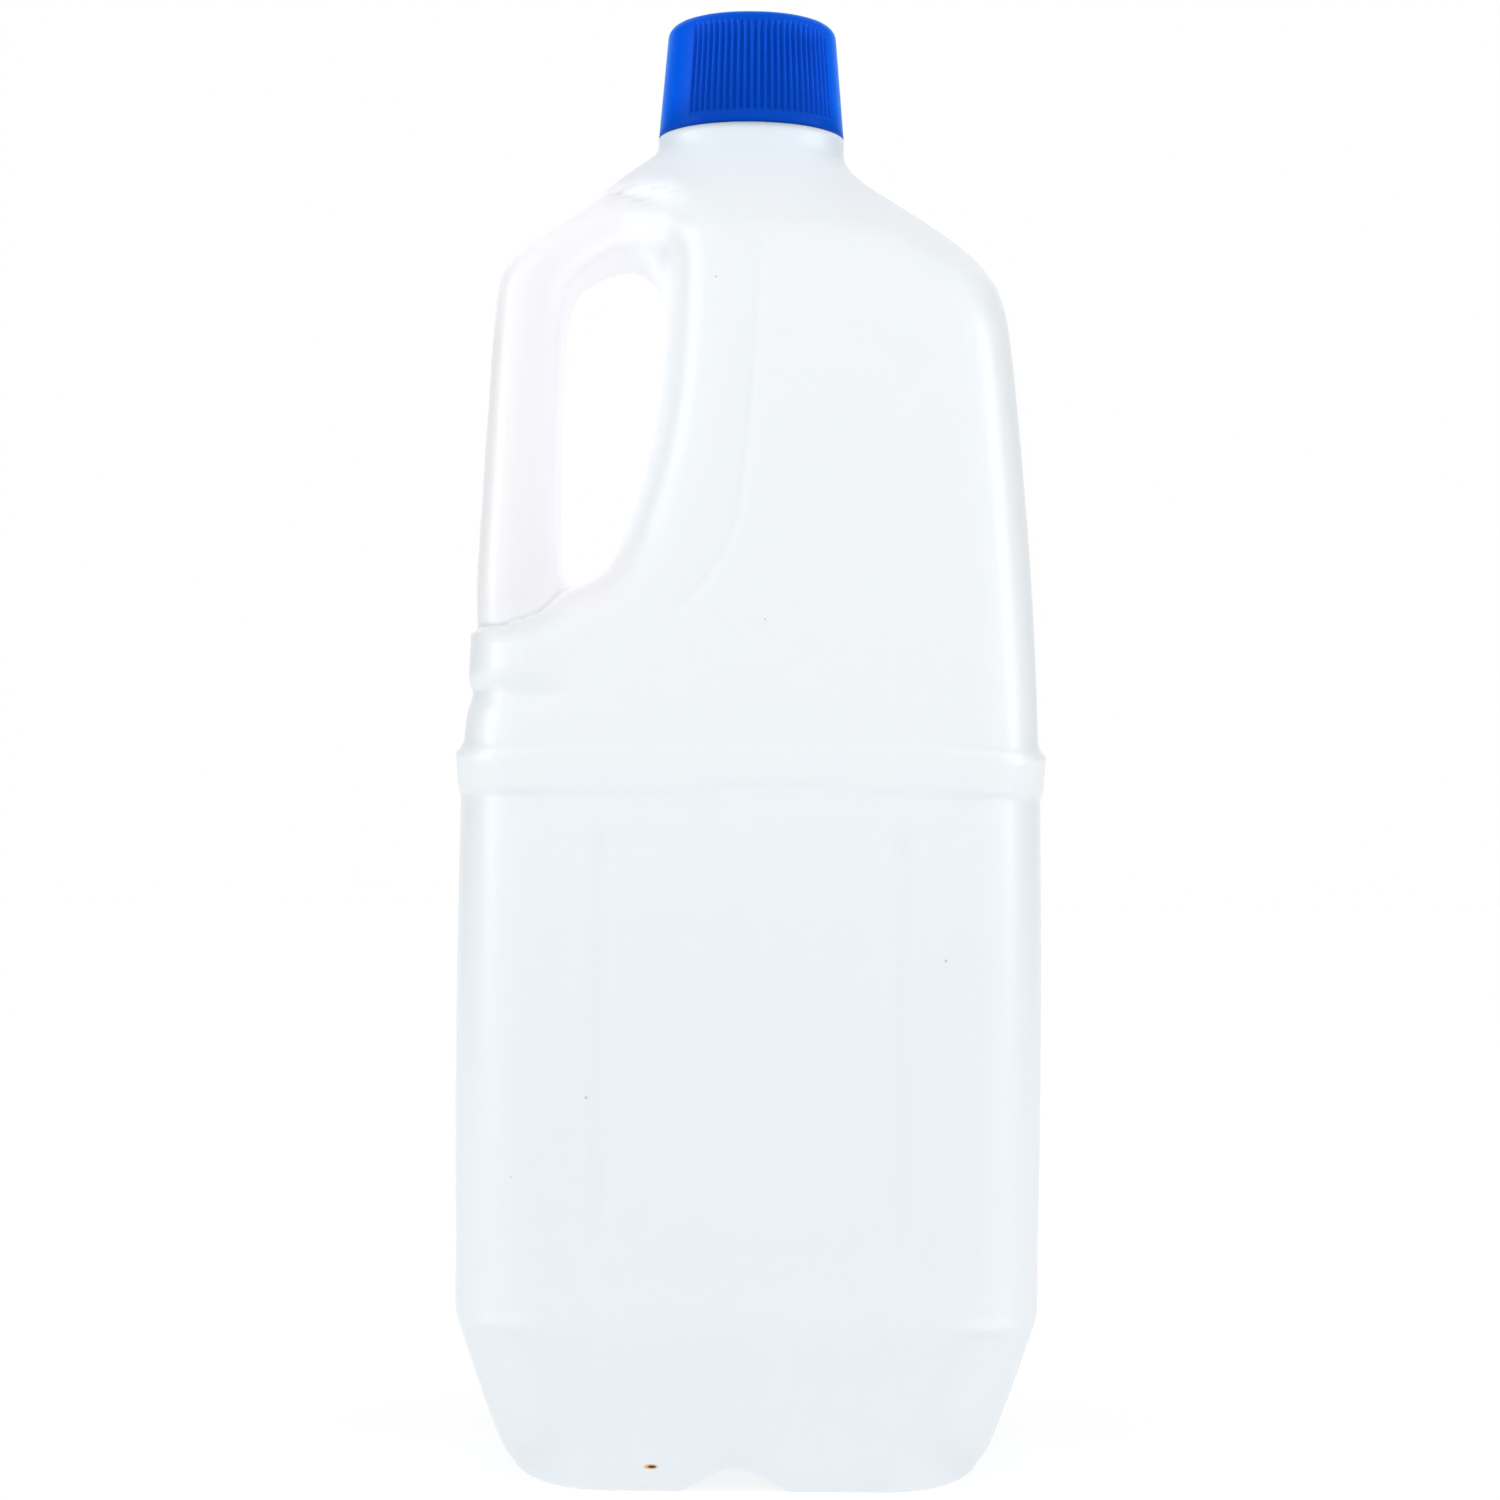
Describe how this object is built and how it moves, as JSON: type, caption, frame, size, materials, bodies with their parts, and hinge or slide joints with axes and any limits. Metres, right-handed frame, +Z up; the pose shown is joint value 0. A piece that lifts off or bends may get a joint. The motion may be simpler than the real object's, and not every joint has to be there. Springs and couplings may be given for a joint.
{
  "type": "distilled water bottle",
  "caption": "Blow-moulded translucent water bottle with a side handle, sloping shoulders and a ribbed blue screw cap, filled with clear water.",
  "frame": {"origin": "centre of the bottle's bounding box, on the surface it stands on", "axes": "+Z up along the bottle, front label side faces -Y, handle on -X, +X to the right seen from the front"},
  "size_m": [0.1232, 0.0818, 0.3049],
  "materials": {
    "bottle_plastic": "milky natural polyethylene, softly glossy, lets light through",
    "water": "clear still water",
    "cap_plastic": "blue moulded polypropylene with a satin gloss"
  },
  "bodies": {
    "root": {"bottle": "bottle_plastic", "water": "water", "cap": "cap_plastic"}
  },
  "joints": []
}
